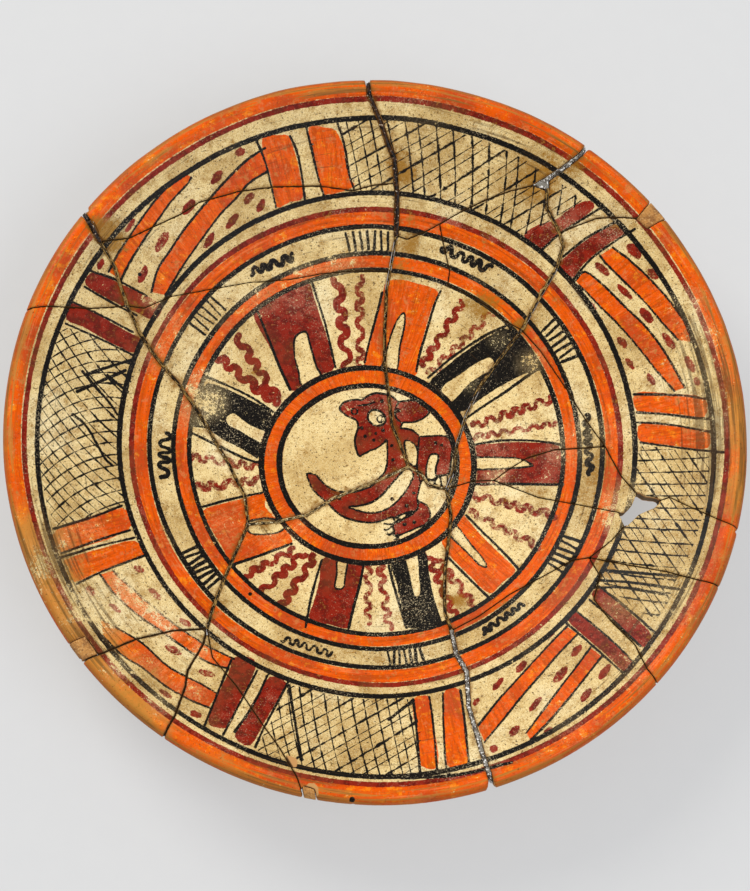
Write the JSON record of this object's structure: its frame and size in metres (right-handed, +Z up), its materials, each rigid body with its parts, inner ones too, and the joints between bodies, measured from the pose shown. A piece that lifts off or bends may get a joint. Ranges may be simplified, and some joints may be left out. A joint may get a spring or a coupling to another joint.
{
  "type": "mended pottery plate",
  "caption": "Shallow round plate of fired clay with a rounded lip and a flattened base, broken into sherds and glued together again, with adhesive in the breaks and small fills at the rim.",
  "frame": {"origin": "middle of the plate's footprint, on the surface it rests on", "axes": "+Z up out of the open dish, +Y towards the top of the painted picture, +X to its right"},
  "size_m": [0.3, 0.3, 0.049],
  "materials": {
    "fired_clay": "low-fired earthenware with a burnished cream slip painted in orange, maroon and black, satin and worn",
    "aged_adhesive": "old adhesive gone dark amber, glossy and uneven",
    "clear_adhesive": "clear glossy adhesive that fills a small lost chip",
    "plaster_fill": "matt tan fill, unpainted"
  },
  "bodies": {
    "root": {"adhesive_bottom_inner": "aged_adhesive", "adhesive_bottom_rim": "aged_adhesive", "adhesive_centre_left": "aged_adhesive", "adhesive_centre_right": "aged_adhesive", "adhesive_chip_plug": "clear_adhesive", "adhesive_left_inner": "aged_adhesive", "adhesive_left_rim": "aged_adhesive", "adhesive_left_shoulder": "aged_adhesive", "adhesive_lower_left": "aged_adhesive", "adhesive_right_inner": "aged_adhesive", "adhesive_right_middle": "aged_adhesive", "adhesive_top_inner": "aged_adhesive", "adhesive_top_rim": "aged_adhesive", "adhesive_upper_right_rim": "aged_adhesive", "base_sherd_bottom": "fired_clay", "centre_sherd_left": "fired_clay", "centre_sherd_lower_right": "fired_clay", "centre_sherd_right": "fired_clay", "centre_sherd_upper_right": "fired_clay", "fill_bottom_rim": "plaster_fill", "fill_left_rim": "plaster_fill", "fill_right_rim": "plaster_fill", "rim_sherd_bottom_left": "fired_clay", "rim_sherd_bottom_right": "fired_clay", "rim_sherd_left": "fired_clay", "rim_sherd_left_upper": "fired_clay", "rim_sherd_lower_left": "fired_clay", "rim_sherd_right": "fired_clay", "rim_sherd_right_lower": "fired_clay", "rim_sherd_right_small": "fired_clay", "rim_sherd_top_left": "fired_clay", "rim_sherd_top_right": "fired_clay", "rim_sherd_upper_right": "fired_clay", "wall_sherd_right": "fired_clay", "wall_sherd_upper_left": "fired_clay", "wall_sherd_upper_right": "fired_clay"}
  },
  "joints": []
}
